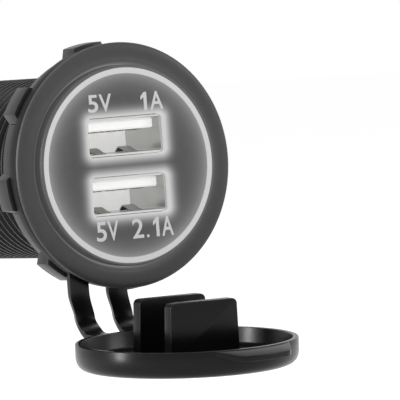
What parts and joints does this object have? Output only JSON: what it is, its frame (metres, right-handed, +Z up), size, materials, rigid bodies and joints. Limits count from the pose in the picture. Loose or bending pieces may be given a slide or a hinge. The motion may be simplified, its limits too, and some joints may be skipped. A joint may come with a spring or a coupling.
{
  "type": "panel-mounted car usb power socket",
  "caption": "Round panel-mount USB charging socket for a vehicle: illuminated face, threaded barrel with ring nut, rear blade terminals and a tethered rubber dust cap.",
  "frame": {"origin": "on the socket's axis, in the plane where the back of the rubber ring meets the panel", "axes": "+Y along the barrel, from the face to the terminals; +Z up, with the ports one above the other; +X to the right of someone facing the socket"},
  "size_m": [0.0376, 0.0877, 0.05],
  "materials": {
    "black_plastic": "satin moulded black plastic",
    "face_plastic": "smooth dark face plate, lit from behind round the ports",
    "black_rubber": "soft matt black rubber",
    "clear_guide": "milky light guide",
    "nickel_shell": "nickel-plated folded sheet",
    "white_plastic": "white moulded insulator",
    "gold_contact": "gold-flashed contact",
    "circuit_board": "green solder mask",
    "lamp_white": "white lamp chip",
    "ferrite": "dark grey ferrite",
    "can_aluminium": "bright rolled can",
    "chip_black": "moulded chip",
    "ceramic_tan": "fired ceramic",
    "terminal_metal": "tinned brass blade"
  },
  "bodies": {
    "socket": {"housing": "black_plastic", "cap_ring": "black_rubber", "face_frame": "black_plastic", "light_guide": "clear_guide", "face_plate": "face_plastic", "usb_shell_upper": "nickel_shell", "usb_shell_lower": "nickel_shell", "usb_tongue_upper": "white_plastic", "usb_tongue_lower": "white_plastic", "usb_contacts_upper": "gold_contact", "usb_contacts_lower": "gold_contact", "usb_board": "circuit_board", "status_leds": "lamp_white", "main_board": "circuit_board", "board_header": "chip_black", "power_choke": "ferrite", "capacitor_input": "can_aluminium", "capacitor_output": "can_aluminium", "regulator_chip": "chip_black", "chip_capacitors": "ceramic_tan", "rear_cover": "black_plastic", "terminal_positive": "terminal_metal", "terminal_negative": "terminal_metal", "cap_strap_left": "black_rubber", "cap_strap_right": "black_rubber"},
    "dust_cap": {"cap": "black_rubber"},
    "ring_nut": {"ring_nut": "black_plastic"}
  },
  "joints": [
    {"name": "cap_hinge", "type": "hinge", "parent": "socket", "child": "dust_cap", "pos_m": [0, 0.00193, -0.01956], "axis": [1, 0, 0], "range_deg": [-94.2, 80], "stiffness_Nm_per_rad": 0.03, "deforming": ["cap_strap_left", "cap_strap_right"]},
    {"name": "ring_nut_travel", "type": "slide", "parent": "socket", "child": "ring_nut", "axis": [0, 1, 0], "range_m": [0, 0.033]}
  ]
}
